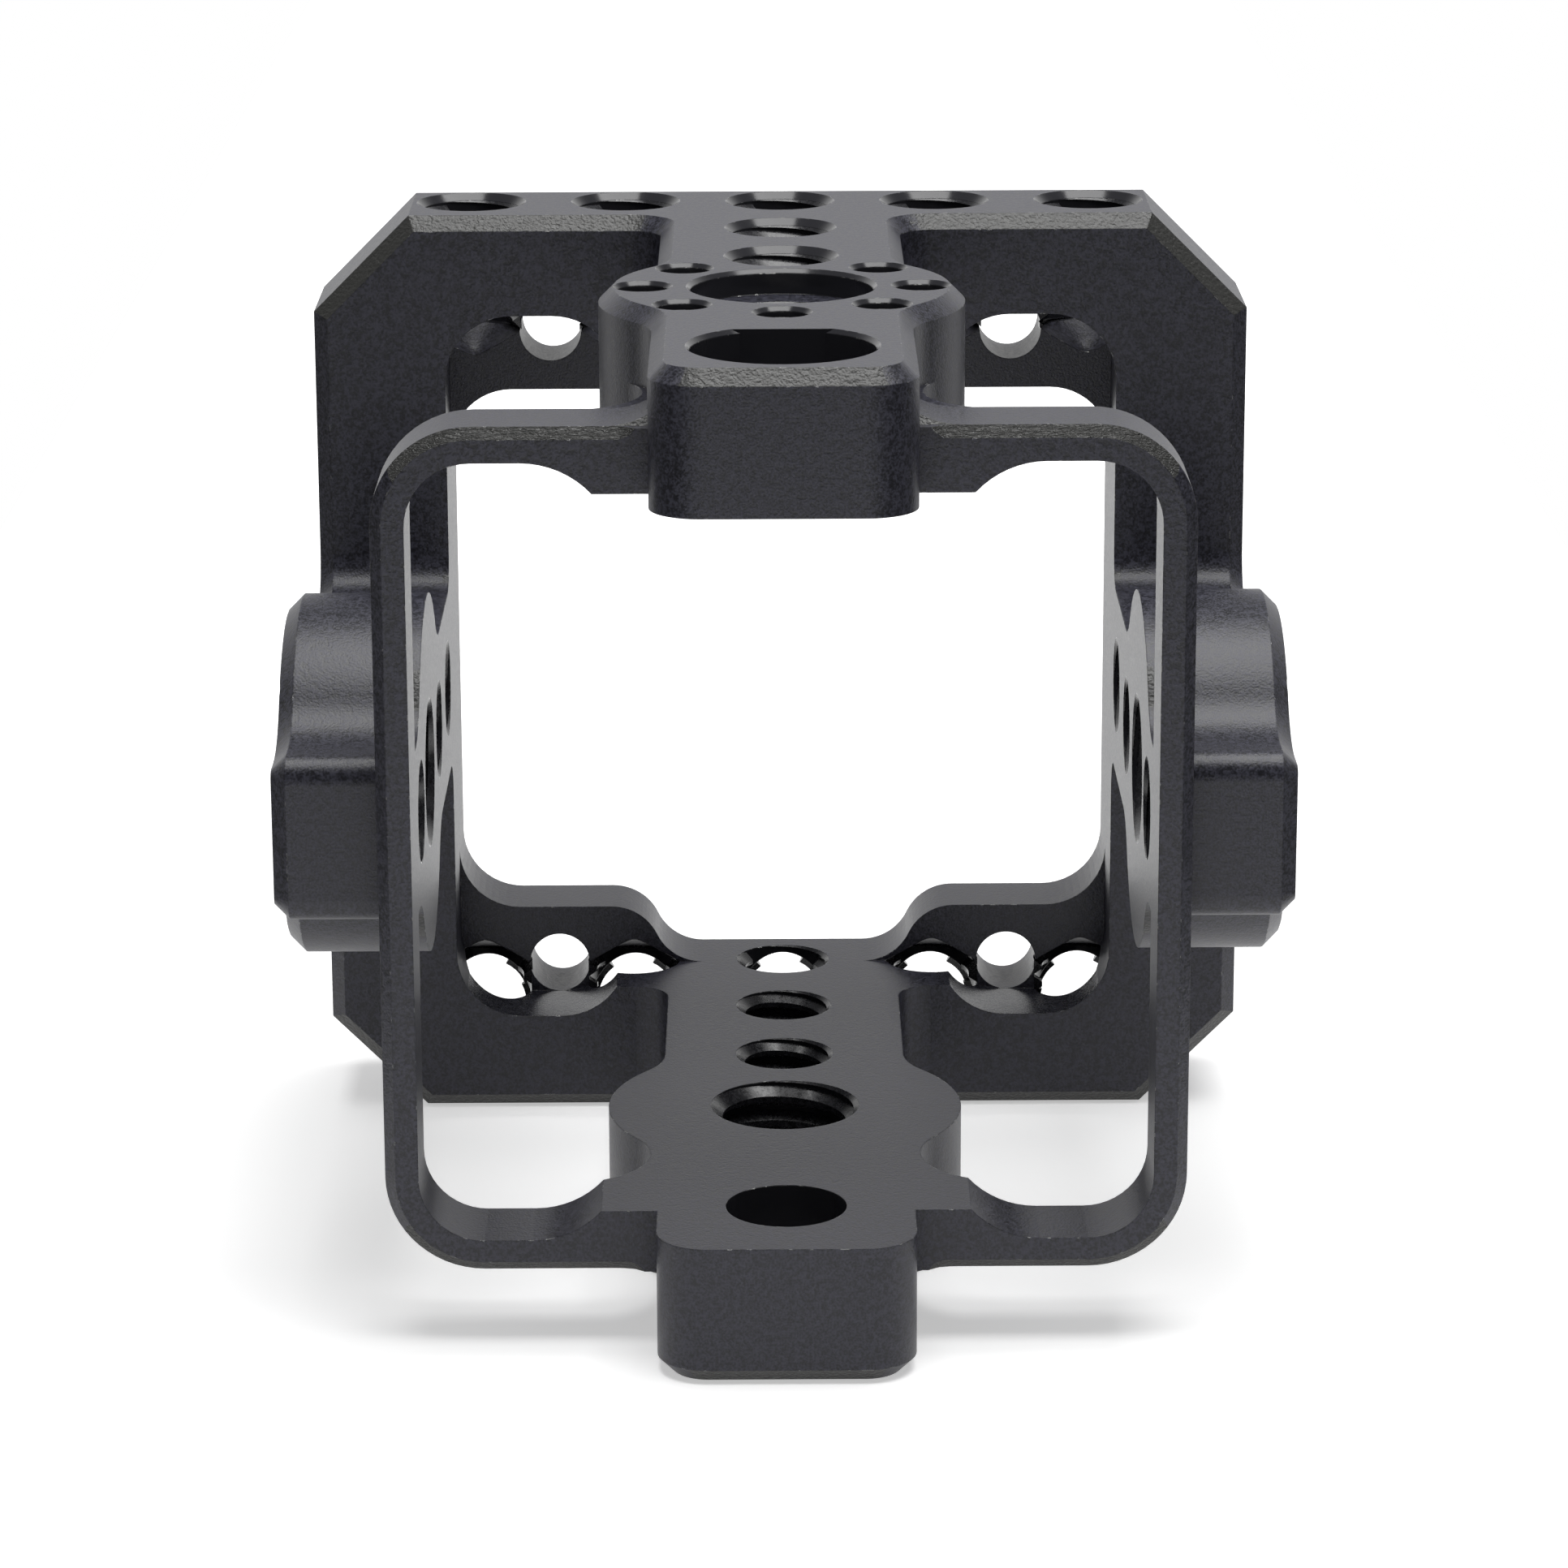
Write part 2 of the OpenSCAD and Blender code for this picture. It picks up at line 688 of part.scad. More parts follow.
module top_dowel(side) color(bright_steel) on_top() long_dowel(side, 0);
module bottom_dowel(side) color(bright_steel) on_bottom() long_dowel(side, 0);
module left_dowel(side) color(bright_steel) on_left() side_dowel(side, 0);
module right_dowel(side) color(bright_steel) on_right() side_dowel(side, 0);

rear_frame();
front_frame();
top_rail();
bottom_rail();
left_rail();
right_rail();
top_screw(-1);  // top_left_screw
top_screw(1);  // top_right_screw
bottom_screw(-1);  // bottom_left_screw
bottom_screw(1);  // bottom_right_screw
left_screw(-1);  // left_upper_screw
left_screw(1);  // left_lower_screw
right_screw(-1);  // right_upper_screw
right_screw(1);  // right_lower_screw
top_dowel(-1);  // top_left_dowel
top_dowel(1);  // top_right_dowel
bottom_dowel(-1);  // bottom_left_dowel
bottom_dowel(1);  // bottom_right_dowel
left_dowel(-1);  // left_upper_dowel
left_dowel(1);  // left_lower_dowel
right_dowel(-1);  // right_upper_dowel
right_dowel(1);  // right_lower_dowel
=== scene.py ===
# %% [markdown]
# # A camera cage, dressed for its portrait
#
# The cage is a small open box of black anodised aluminium. A cube camera slides
# into it from the front, and accessories are screwed to the tapped holes on its
# frames and rails. Its solids come from the CAD model, which this lesson never
# changes. Blender adds what a CAD model lacks: the screw threads inside the holes,
# the blasted and anodised skin, the rubbed edges, soft light and a camera.
#
# Everything is in metres, and in the CAD model's own frame: +Y points to the back
# of the cage, +Z points up, and the cage stands on the plane z = 0.

import math

import bmesh
import bpy
from mathutils import Matrix, Vector


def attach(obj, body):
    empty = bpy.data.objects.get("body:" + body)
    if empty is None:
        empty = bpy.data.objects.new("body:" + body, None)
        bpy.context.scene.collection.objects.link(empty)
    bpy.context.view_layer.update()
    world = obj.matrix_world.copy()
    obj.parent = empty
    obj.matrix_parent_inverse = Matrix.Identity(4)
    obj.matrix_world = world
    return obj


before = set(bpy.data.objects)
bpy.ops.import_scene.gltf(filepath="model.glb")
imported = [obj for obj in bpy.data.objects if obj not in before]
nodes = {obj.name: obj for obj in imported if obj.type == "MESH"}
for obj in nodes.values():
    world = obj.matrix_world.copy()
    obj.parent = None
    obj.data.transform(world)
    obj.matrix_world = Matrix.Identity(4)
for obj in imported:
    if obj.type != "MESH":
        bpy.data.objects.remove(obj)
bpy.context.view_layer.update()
MM = 0.001

# %% [markdown]
# ## The camera
#
# The portrait was taken with a long lens from about a third of a metre away, a
# little above the cage. Where the camera stood was worked out from the edges and
# holes in the picture. A camera is easiest to aim by its three axes: where it
# looks, what is right of it and what is above it. Those three vectors are the
# columns of its rotation matrix, and the roll turns the last two about the first.

# %% Camera
CAMERA_PLACE = Vector((-1.07, -327.39, 120.24)) * MM
LOOK_DOWN = math.radians(15.76)
LOOK_RIGHT = math.radians(0.194)
ROLL = math.radians(-0.226)
LENS_MM = 125.95
SENSOR_MM = 36.0

ahead = Vector(
    (
        math.sin(LOOK_RIGHT) * math.cos(LOOK_DOWN),
        math.cos(LOOK_RIGHT) * math.cos(LOOK_DOWN),
        -math.sin(LOOK_DOWN),
    )
)
level = Vector((math.cos(LOOK_RIGHT), -math.sin(LOOK_RIGHT), 0))
above = level.cross(ahead)
right = math.cos(ROLL) * level + math.sin(ROLL) * above
up = right.cross(ahead)

camera_data = bpy.data.cameras.new("portrait_camera")
camera_data.lens = LENS_MM
camera_data.sensor_width = SENSOR_MM
camera_data.clip_start = 10 * MM
camera = bpy.data.objects.new("portrait_camera", camera_data)
bpy.context.scene.collection.objects.link(camera)
turned = Matrix((right, up, -ahead)).transposed().to_4x4()
camera.matrix_world = Matrix.Translation(CAMERA_PLACE) @ turned
bpy.context.scene.camera = camera
bpy.context.scene.view_settings.view_transform = "Standard"
print("camera looks down", round(math.degrees(LOOK_DOWN), 1), "degrees")

# %% [markdown]
# ## Node helpers
#
# The room, the floor and all the finishes are node trees. A few short functions
# keep them readable. They find the socket that is in use where a node has several
# of one name, make a Math node from sockets or numbers, give the distance between
# two values, map a value smoothly between two limits, and split a vector. The last
# one tells the rays that see the white room from those that only light the cage.

# %% Node helpers
def socket_of(node, name):
    """The input of that name that is in use."""
    return next(s for s in node.inputs if s.name == name and s.enabled)


def math_node(tree, kind, *operands):
    """The output of a Math node. Each operand is a socket or a number."""
    node = tree.nodes.new("ShaderNodeMath")
    node.operation = kind
    for slot, operand in zip(node.inputs, operands):
        if isinstance(operand, (int, float)):
            slot.default_value = operand
        else:
            tree.links.new(operand, slot)
    return node.outputs[0]


def apart(tree, one, other):
    """How far two values are from each other."""
    return math_node(tree, "ABSOLUTE", math_node(tree, "SUBTRACT", one, other))


def ramp(tree, value, low, high, to_low=0.0, to_high=1.0):
    """Maps low..high of a value smoothly to 0..1, or to the given ends."""
    node = tree.nodes.new("ShaderNodeMapRange")
    node.interpolation_type = "SMOOTHSTEP"
    node.inputs["From Min"].default_value = low
    node.inputs["From Max"].default_value = high
    node.inputs["To Min"].default_value = to_low
    node.inputs["To Max"].default_value = to_high
    tree.links.new(value, node.inputs["Value"])
    return node.outputs["Result"]


def parts_of(tree, vector):
    """The three parts of a vector."""
    node = tree.nodes.new("ShaderNodeSeparateXYZ")
    tree.links.new(vector, node.inputs[0])
    return node.outputs["X"], node.outputs["Y"], node.outputs["Z"]


def seen_directly(tree):
    """1 for rays from the camera and for those that are mirrored or go through glass."""
    rays = tree.nodes.new("ShaderNodeLightPath")
    bent = math_node(
        tree, "MAXIMUM", rays.outputs["Is Glossy Ray"], rays.outputs["Is Transmission Ray"]
    )
    return math_node(tree, "MAXIMUM", rays.outputs["Is Camera Ray"], bent)


print("node helpers are ready")

# %% [markdown]
# ## Light
#
# A black part is lit by what it mirrors. Its tops and sides are seen at a low
# angle, where even a matt black skin mirrors a lot, so they show the white
# backdrop behind the cage. Its front faces mirror the paper before it. One soft
# box hangs above and a little to the right. It lights the bevels that lean
# forwards, and it is small enough to leave a bright patch inside each hole with
# darkness on either side. The rest of the room is dark, and so are the bevels that
# face it.

# %% Room
DARK = 0.16
world = bpy.data.worlds.new("studio")
bpy.context.scene.world = world
world.use_nodes = True
tree = world.node_tree
tree.nodes.clear()
place = tree.nodes.new("ShaderNodeTexCoord")
_, behind, above_it = parts_of(tree, place.outputs["Generated"])
backdrop = math_node(
    tree, "MULTIPLY", ramp(tree, behind, 0.1, 0.8), ramp(tree, above_it, 0.3, 0.7, 1.0, 0.0)
)
rays = tree.nodes.new("ShaderNodeLightPath")
white = math_node(tree, "MAXIMUM", backdrop, rays.outputs["Is Camera Ray"])
strength = math_node(tree, "MULTIPLY_ADD", white, 1 - DARK, DARK)
background = tree.nodes.new("ShaderNodeBackground")
output = tree.nodes.new("ShaderNodeOutputWorld")
background.inputs["Color"].default_value = (1, 1, 1, 1)
tree.links.new(strength, background.inputs["Strength"])
tree.links.new(background.outputs["Background"], output.inputs["Surface"])
print("room is ready, dark side at", DARK)

# %% Lamps
def lamp(name, place_mm, aim_mm, size_mm, watts):
    """A square soft box at one point that faces another."""
    data = bpy.data.lights.new(name, "AREA")
    data.shape = "SQUARE"
    data.size = size_mm * MM
    data.energy = watts
    thing = bpy.data.objects.new(name, data)
    bpy.context.scene.collection.objects.link(thing)
    thing.location = Vector(place_mm) * MM
    aim = Vector(aim_mm) * MM - thing.location
    thing.rotation_euler = aim.to_track_quat("-Z", "Y").to_euler()


lamp("top_box", (40, 0, 440), (0, 0, 30), 340, 2.25)

# %% [markdown]
# ## Floor
#
# The cage stands on a strip of white paper that runs back to the backdrop. Beside
# the strip there is nothing, so the bevels that lean to the sides stay dark. The
# paper has to look as white as the backdrop, and still carry the cage's shadow. So
# for direct and mirrored views a little light of the paper's own is added to what
# falls on it. Far from the cage, where the lamp hardly reaches, more is added. For
# all other light it is ordinary pale paper.

# %% Floor
PAPER_HALF_W = 75 * MM
PAPER_FRONT = -400 * MM
PAPER_BACK = 3000 * MM
PAPER_LIFT = 0.45
PAPER_LIFT_FAR = 1.0
LIFT_FROM = 70 * MM
LIFT_TO = 300 * MM
floor_mesh = bpy.data.meshes.new("paper")
floor_mesh.from_pydata(
    [
        (-PAPER_HALF_W, PAPER_FRONT, 0),
        (PAPER_HALF_W, PAPER_FRONT, 0),
        (PAPER_HALF_W, PAPER_BACK, 0),
        (-PAPER_HALF_W, PAPER_BACK, 0),
    ],
    [],
    [(0, 1, 2, 3)],
)
floor = bpy.data.objects.new("paper", floor_mesh)
bpy.context.scene.collection.objects.link(floor)
paper = bpy.data.materials.new("white_paper")
paper.use_nodes = True
tree = paper.node_tree
shader = tree.nodes["Principled BSDF"]
shader.inputs["Base Color"].default_value = (0.86, 0.86, 0.86, 1)
shader.inputs["Roughness"].default_value = 0.9
shader.inputs["Specular IOR Level"].default_value = 0.0
place = tree.nodes.new("ShaderNodeTexCoord")
reach = tree.nodes.new("ShaderNodeVectorMath")
reach.operation = "LENGTH"
tree.links.new(place.outputs["Object"], reach.inputs[0])
rising = ramp(tree, reach.outputs["Value"], LIFT_FROM, LIFT_TO, PAPER_LIFT, PAPER_LIFT_FAR)
lift = math_node(tree, "MULTIPLY", seen_directly(tree), rising)
shader.inputs["Emission Color"].default_value = (1, 1, 1, 1)
tree.links.new(lift, shader.inputs["Emission Strength"])
floor_mesh.materials.append(paper)
print("paper strip,", round(2 * PAPER_HALF_W / MM), "mm wide")

# %% [markdown]
# ## Where the holes are
#
# The holes follow one plan on all four sides. They stand on a 10 mm pitch, counted
# from the rows in the rear frame, with the boss three steps in front of the rows.
# The finishes and the threads both need this plan, so it is written down once, in
# millimetres.

# %% Plan of the holes
WALL = 8.4
HALF = 30.0
MID_Z = 30.0
PITCH = 10.0
ROW_Y = 25.5
BOSS_Y = ROW_Y - 3 * PITCH
LUG_Y = BOSS_Y - 8.8
BLOCK_Y = -22.7
QUARTER_R = 3.1
QUARTER_MOUTH_R = 3.55
LARGE_R = 4.6
LARGE_MOUTH_R = 5.3
SMALL_R = 1.55
SMALL_SINK = 0.6
SMALL_CIRCLE_R = 8.3
SMALL_DEPTH = 5.4
RECESS_T = 1.55
FRONT_JOINT_Y = -18.0
BACK_JOINT_Y = 19.5
POCKET_NEAR = 10.4
POCKET_FAR = 21.6
print("holes on a pitch of", PITCH, "mm, bosses at y", BOSS_Y)

# %% [markdown]
# ## Effects that several finishes share
#
# A finish is built from a few effects. Each is a node group with named inputs and
# outputs, made once and placed in each material with its own values. The helper
# below makes the sockets, so that each effect can be written as what it does.
# Positions come from the solids themselves, in millimetres, so a grain runs on
# across the joint between two pieces, as it does on the real cage.

# %% Helpers for node trees
def new_group(name, inputs, outputs):
    """A shader node group, its two ends, and the sockets named in the lists."""
    group = bpy.data.node_groups.new(name, "ShaderNodeTree")
    for label, kind, *value in inputs:
        made = group.interface.new_socket(name=label, in_out="INPUT", socket_type=kind)
        if value:
            made.default_value = value[0]
    for label, kind in outputs:
        group.interface.new_socket(name=label, in_out="OUTPUT", socket_type=kind)
    return group, group.nodes.new("NodeGroupInput"), group.nodes.new("NodeGroupOutput")


def stretched(tree, vector, scale):
    """A vector multiplied by three numbers."""
    node = tree.nodes.new("ShaderNodeVectorMath")
    node.operation = "MULTIPLY"
    node.inputs[1].default_value = scale
    tree.links.new(vector, node.inputs[0])
    return node.outputs[0]


def noise(tree, vector, scale, detail=2.0, distortion=0.0):
    """A noise texture of that many features per unit of the vector."""
    node = tree.nodes.new("ShaderNodeTexNoise")
    node.inputs["Scale"].default_value = scale
    node.inputs["Detail"].default_value = detail
    node.inputs["Distortion"].default_value = distortion
    tree.links.new(vector, node.inputs["Vector"])
    return node.outputs["Fac"]


print("helpers are ready")

# %% [markdown]
# ### Blasted grain
#
# Before it was anodised, the cage was blasted with fine beads. That leaves a dull,
# even grain of pits a tenth of a millimetre wide, over a softer mottle of about
# half a millimetre. Two noises do both. They give a height for the relief, and a
# speckle that makes the skin a little lighter and darker from point to point.

# %% Grain group
grain_group, start, end = new_group(
    "blasted_grain",
    [("Position mm", "NodeSocketVector"), ("Pits per mm", "NodeSocketFloat", 7.0)],
    [("Speckle", "NodeSocketFloat"), ("Height", "NodeSocketFloat")],
)
pits = grain_group.nodes.new("ShaderNodeTexNoise")
pits.inputs["Detail"].default_value = 1.0
grain_group.links.new(start.outputs["Position mm"], pits.inputs["Vector"])
grain_group.links.new(start.outputs["Pits per mm"], pits.inputs["Scale"])
mottle = noise(grain_group, start.outputs["Position mm"], 2.6, 1.0)
deep = math_node(grain_group, "MULTIPLY", pits.outputs["Fac"], 0.6)
both = math_node(grain_group, "MULTIPLY_ADD", mottle, 0.4, deep)
grain_group.links.new(ramp(grain_group, both, 0.36, 0.64), end.inputs["Speckle"])
grain_group.links.new(both, end.inputs["Height"])
print("group:", grain_group.name)

# %% [markdown]
# ### Rubbed edges
#
# Sharp edges lose their black skin first. Cycles can find them while it renders:
# the Bevel node gives the normal that a rounded edge would have, and where that
# differs from the true normal, an edge is near. A patchy noise keeps most of the
# edge black and leaves small bright nicks. The rounded normal is passed on too,
# because a real edge is never quite sharp.
#
# The cage's frames and rails meet in joints that were finished flush, and there
# the edge must not show. So near the two joint planes, within the width of the
# rails, the true normal is kept and no edge is found.

# %% Edge group
edge_group, start, end = new_group(
    "rubbed_edge",
    [
        ("Position mm", "NodeSocketVector"),
        ("Radius m", "NodeSocketFloat", 0.00012),
        ("Nicks", "NodeSocketFloat", 0.5),
    ],
    [("Nick", "NodeSocketFloat"), ("Normal", "NodeSocketVector")],
)
tree = edge_group
JOINT_CLEAR = 0.3
LONG_ARM_HALF_W = 10.8
SIDE_ARM_HALF_W = 8.3
BEVEL_SAMPLES = 3
x, y, z = parts_of(tree, start.outputs["Position mm"])
nearest_joint = math_node(
    tree, "MINIMUM", apart(tree, y, FRONT_JOINT_Y), apart(tree, y, BACK_JOINT_Y)
)
near_joint = math_node(tree, "LESS_THAN", nearest_joint, JOINT_CLEAR)
in_long = math_node(tree, "LESS_THAN", math_node(tree, "ABSOLUTE", x), LONG_ARM_HALF_W)
in_side = math_node(tree, "LESS_THAN", apart(tree, z, MID_Z), SIDE_ARM_HALF_W)
in_arm = math_node(tree, "MAXIMUM", in_long, in_side)
at_joint = math_node(tree, "MULTIPLY", near_joint, in_arm)
rounded = tree.nodes.new("ShaderNodeBevel")
rounded.samples = BEVEL_SAMPLES
tree.links.new(start.outputs["Radius m"], rounded.inputs["Radius"])
true = tree.nodes.new("ShaderNodeNewGeometry")
pick = tree.nodes.new("ShaderNodeMix")
pick.data_type = "VECTOR"
tree.links.new(at_joint, socket_of(pick, "Factor"))
tree.links.new(rounded.outputs["Normal"], socket_of(pick, "A"))
tree.links.new(true.outputs["Normal"], socket_of(pick, "B"))
picked = next(s for s in pick.outputs if s.enabled)
tree.links.new(picked, end.inputs["Normal"])
likeness = tree.nodes.new("ShaderNodeVectorMath")
likeness.operation = "DOT_PRODUCT"
tree.links.new(picked, likeness.inputs[0])
tree.links.new(true.outputs["Normal"], likeness.inputs[1])
edge = ramp(tree, math_node(tree, "SUBTRACT", 1.0, likeness.outputs["Value"]), 0.01, 0.2)
patches = noise(tree, start.outputs["Position mm"], 1.7, 2.0)
few = math_node(tree, "MULTIPLY", start.outputs["Nicks"], 0.2)
least = math_node(tree, "SUBTRACT", 0.72, few)
nick = math_node(tree, "MULTIPLY", edge, math_node(tree, "GREATER_THAN", patches, least))
tree.links.new(nick, end.inputs["Nick"])
print("group:", edge_group.name)

# %% [markdown]
# ### Cutter marks
#
# The bevels were milled last and show the cutter. On the small bevels that is a
# coarse grain. On the thin ring's front bevel the cutter chattered: the strip is
# covered with short, slanting ripples. A noise that is stretched along the strip
# and distorted makes them. The bevels are found by their slope: they are the faces
# that lean between front and top, at 45 degrees.

# %% Cutter group
cutter_group, start, end = new_group(
    "cutter_marks",
    [("Position mm", "NodeSocketVector")],
    [("Bevel", "NodeSocketFloat"), ("Height", "NodeSocketFloat")],
)
tree = cutter_group
SIDE_BOSS_X = 22.0
SIDE_BOSS_R = 11.2
LEAST_RISE = 0.4
RING_FRONT_Y = -23.5
RING_BEVEL = 0.65
BLOCK_REACH_X = 8.2
true = tree.nodes.new("ShaderNodeNewGeometry")
_, lean, rise = parts_of(tree, true.outputs["True Normal"])
slope = math_node(tree, "ABSOLUTE", lean)
steep_enough = ramp(tree, slope, 0.62, 0.68)
not_too_steep = ramp(tree, slope, 0.74, 0.8, 1.0, 0.0)
bevel = math_node(tree, "MULTIPLY", steep_enough, not_too_steep)
x, y, z = parts_of(tree, start.outputs["Position mm"])
from_axis = math_node(tree, "ABSOLUTE", x)
beside = math_node(tree, "GREATER_THAN", from_axis, SIDE_BOSS_X)
near_boss = math_node(tree, "LESS_THAN", apart(tree, z, MID_Z), SIDE_BOSS_R)
flat = math_node(tree, "SUBTRACT", 1.0, math_node(tree, "MULTIPLY", beside, near_boss))
rising = math_node(tree, "GREATER_THAN", math_node(tree, "ABSOLUTE", rise), LEAST_RISE)
bevel = math_node(tree, "MULTIPLY", bevel, math_node(tree, "MULTIPLY", flat, rising))
from_edge = apart(tree, y, RING_FRONT_Y + RING_BEVEL / 2)
on_ring = math_node(tree, "LESS_THAN", from_edge, RING_BEVEL / 2 + 0.02)
outside = math_node(tree, "GREATER_THAN", from_axis, BLOCK_REACH_X)
chatter = math_node(tree, "MULTIPLY", bevel, math_node(tree, "MULTIPLY", on_ring, outside))
along_strip = stretched(tree, start.outputs["Position mm"], (1.6, 6.0, 6.0))
ripples = noise(tree, along_strip, 1.0, 2.0, 1.2)
coarse = noise(tree, start.outputs["Position mm"], 4.5, 1.0)
marks = math_node(
    tree,
    "MULTIPLY_ADD",
    chatter,
    math_node(tree, "MULTIPLY", ripples, 9.0),
    math_node(tree, "MULTIPLY", bevel, math_node(tree, "MULTIPLY", coarse, 2.0)),
)
tree.links.new(bevel, end.inputs["Bevel"])
tree.links.new(marks, end.inputs["Height"])
print("group:", cutter_group.name)

# %% [markdown]
# ### Drilled walls
#
# The beads don't reach into the holes, so their walls and countersinks stay as
# smooth as the drill left them, and mirror the room much more sharply than the
# skin outside. A point lies on such a wall where it is close to a hole's axis and
# its normal points at that axis. The holes of each side are laid out in the same
# way, so every side is tested in one plane: u runs across it and v to the back.
# The side rails stand upright, and there u is the height from the middle.

# %% Drilled wall group
drilled_group, start, end = new_group(
    "drilled_walls", [("Position mm", "NodeSocketVector")], [("Wall", "NodeSocketFloat")]
)
tree = drilled_group
SIDE_X = 21.5
ROW_REACH_X = 24.5
ROW_REACH_Z = 21.5
MASK_SLACK = 0.1
x, y, z = parts_of(tree, start.outputs["Position mm"])
true = tree.nodes.new("ShaderNodeNewGeometry")
nx, ny, nz = parts_of(tree, true.outputs["True Normal"])


def op(kind, *operands):
    """A Math node of this group."""
    return math_node(drilled_group, kind, *operands)


def choose(which, one, other):
    """one where which is 1, other where it is 0."""
    return op("MULTIPLY_ADD", which, op("SUBTRACT", one, other), other)


def folded(value, step):
    """The distance from the nearest whole multiple of step."""
    return op("SUBTRACT", value, op("MULTIPLY", op("ROUND", op("DIVIDE", value, step)), step))


def faces_axis(du, dv, nu, nv, reach):
    """1 where a point at (du, dv) from an axis is within reach and its normal faces the axis."""
    off = op("SQRT", op("ADD", op("MULTIPLY", du, du), op("MULTIPLY", dv, dv)))
    near = op("LESS_THAN", off, reach)
    inwards = op("ADD", op("MULTIPLY", du, nu), op("MULTIPLY", dv, nv))
    return op("MULTIPLY", near, op("LESS_THAN", inwards, -0.3))


def between(value, low, high):
    """1 where a value lies between two limits."""
    return op("MULTIPLY", op("GREATER_THAN", value, low), op("LESS_THAN", value, high))


across = op("ABSOLUTE", x)
height = op("SUBTRACT", z, MID_Z)
from_middle = op("ABSOLUTE", height)
upright = op("MULTIPLY", op("GREATER_THAN", across, SIDE_X), op("LESS_THAN", y, 19.6))
u = choose(upright, height, x)
nu = choose(upright, nz, nx)
boss_v = op("SUBTRACT", y, BOSS_Y)

# The quarter inch holes of the rails, and the rows above and below the back window
in_row = op("GREATER_THAN", y, 20.0)
inside = op("LESS_THAN", across, ROW_REACH_X)
row_u = choose(in_row, folded(x, PITCH), u)
quarter = faces_axis(row_u, folded(boss_v, PITCH), nu, ny, 3.65)
quarter = op("MULTIPLY", quarter, op("GREATER_THAN", y, 1.0))
quarter = op("MULTIPLY", quarter, op("MAXIMUM", upright, inside))
in_wall = op("MAXIMUM", op("SUBTRACT", 1.0, in_row), op("GREATER_THAN", from_middle, ROW_REACH_Z))
quarter = op("MULTIPLY", quarter, in_wall)

# The large holes in the bosses, the blocks and the lugs
boss = faces_axis(u, boss_v, nu, ny, 5.8)
block = faces_axis(u, op("SUBTRACT", y, BLOCK_Y), nu, ny, 5.6)
block = op("MULTIPLY", block, op("SUBTRACT", 1.0, upright))
lug = faces_axis(u, op("SUBTRACT", y, LUG_Y), nu, ny, 3.65)

# The small holes, one at each eighth of a turn round a boss
eighth = math.radians(45)
turn = op("ARCTAN2", boss_v, u)
nearest = op("MULTIPLY", op("ROUND", op("DIVIDE", turn, eighth)), eighth)
small_u = op("SUBTRACT", u, op("MULTIPLY", op("COSINE", nearest), SMALL_CIRCLE_R))
small_v = op("SUBTRACT", boss_v, op("MULTIPLY", op("SINE", nearest), SMALL_CIRCLE_R))
small = faces_axis(small_u, small_v, nu, ny, 1.9)

# The holes in the back face
outwards = op("MULTIPLY", nz, op("SIGN", height))
back = faces_axis(folded(x, PITCH), op("SUBTRACT", from_middle, 25.2), nx, outwards, 3.45)
back = op("MULTIPLY", back, op("MULTIPLY", op("GREATER_THAN", y, 24.3), inside))

# The pockets in front of the ears, which are half as smooth
in_pocket = op("MULTIPLY", between(y, 19.4, 24.9), between(from_middle, 21.55, 24.2))
in_pocket = op(
    "MULTIPLY", in_pocket, between(across, POCKET_NEAR - MASK_SLACK, POCKET_FAR + MASK_SLACK)
)
sideways = op("LESS_THAN", op("ABSOLUTE", ny), 0.5)
pocket = op("MULTIPLY", in_pocket, op("MULTIPLY", sideways, 0.5))
wall = quarter
for one in (boss, block, lug, small, back, pocket):
    wall = op("MAXIMUM", wall, one)
tree.links.new(wall, end.inputs["Wall"])
print("group:", drilled_group.name, "with", len(tree.nodes), "nodes")

# %% [markdown]
# ## Black anodised aluminium
#
# The dye sits in a clear, hard layer of oxide, so the skin is a very dark base
# under a gloss that the blasting has dulled. That is the plain Principled shader
# with a small base colour, a touch of blue, and a middling roughness. The grain
# shifts both a little. Nicks show bare metal.

# %% Material helpers
def new_material(name):
    """A material, its tree, its Principled shader, and positions in millimetres."""
    material = bpy.data.materials.new(name)
    material.use_nodes = True
    tree = material.node_tree
    place = tree.nodes.new("ShaderNodeTexCoord")
    position = stretched(tree, place.outputs["Object"], (1000, 1000, 1000))
    return material, tree, tree.nodes["Principled BSDF"], position


def placed(tree, group, position, **values):
    """That group in the tree, with the position joined and the values set."""
    node = tree.nodes.new("ShaderNodeGroup")
    node.node_tree = group
    tree.links.new(position, node.inputs["Position mm"])
    for label, value in values.items():
        node.inputs[label.replace("_", " ")].default_value = value
    return node


def blended(tree, factor, first, second):
    """A colour between two: each a socket or a tuple."""
    node = tree.nodes.new("ShaderNodeMix")
    node.data_type = "RGBA"
    tree.links.new(factor, socket_of(node, "Factor"))
    for label, colour in (("A", first), ("B", second)):
        if isinstance(colour, tuple):
            socket_of(node, label).default_value = colour
        else:
            tree.links.new(colour, socket_of(node, label))
    return next(s for s in node.outputs if s.enabled)


def give_relief(tree, shader, depth_m, height, normal=None):
    """Bumps the surface by that height, on top of another normal if there is one."""
    relief = tree.nodes.new("ShaderNodeBump")
    relief.inputs["Distance"].default_value = depth_m
    tree.links.new(height, relief.inputs["Height"])
    if normal:
        tree.links.new(normal, relief.inputs["Normal"])
    tree.links.new(relief.outputs["Normal"], shader.inputs["Normal"])


print("material helpers are ready")

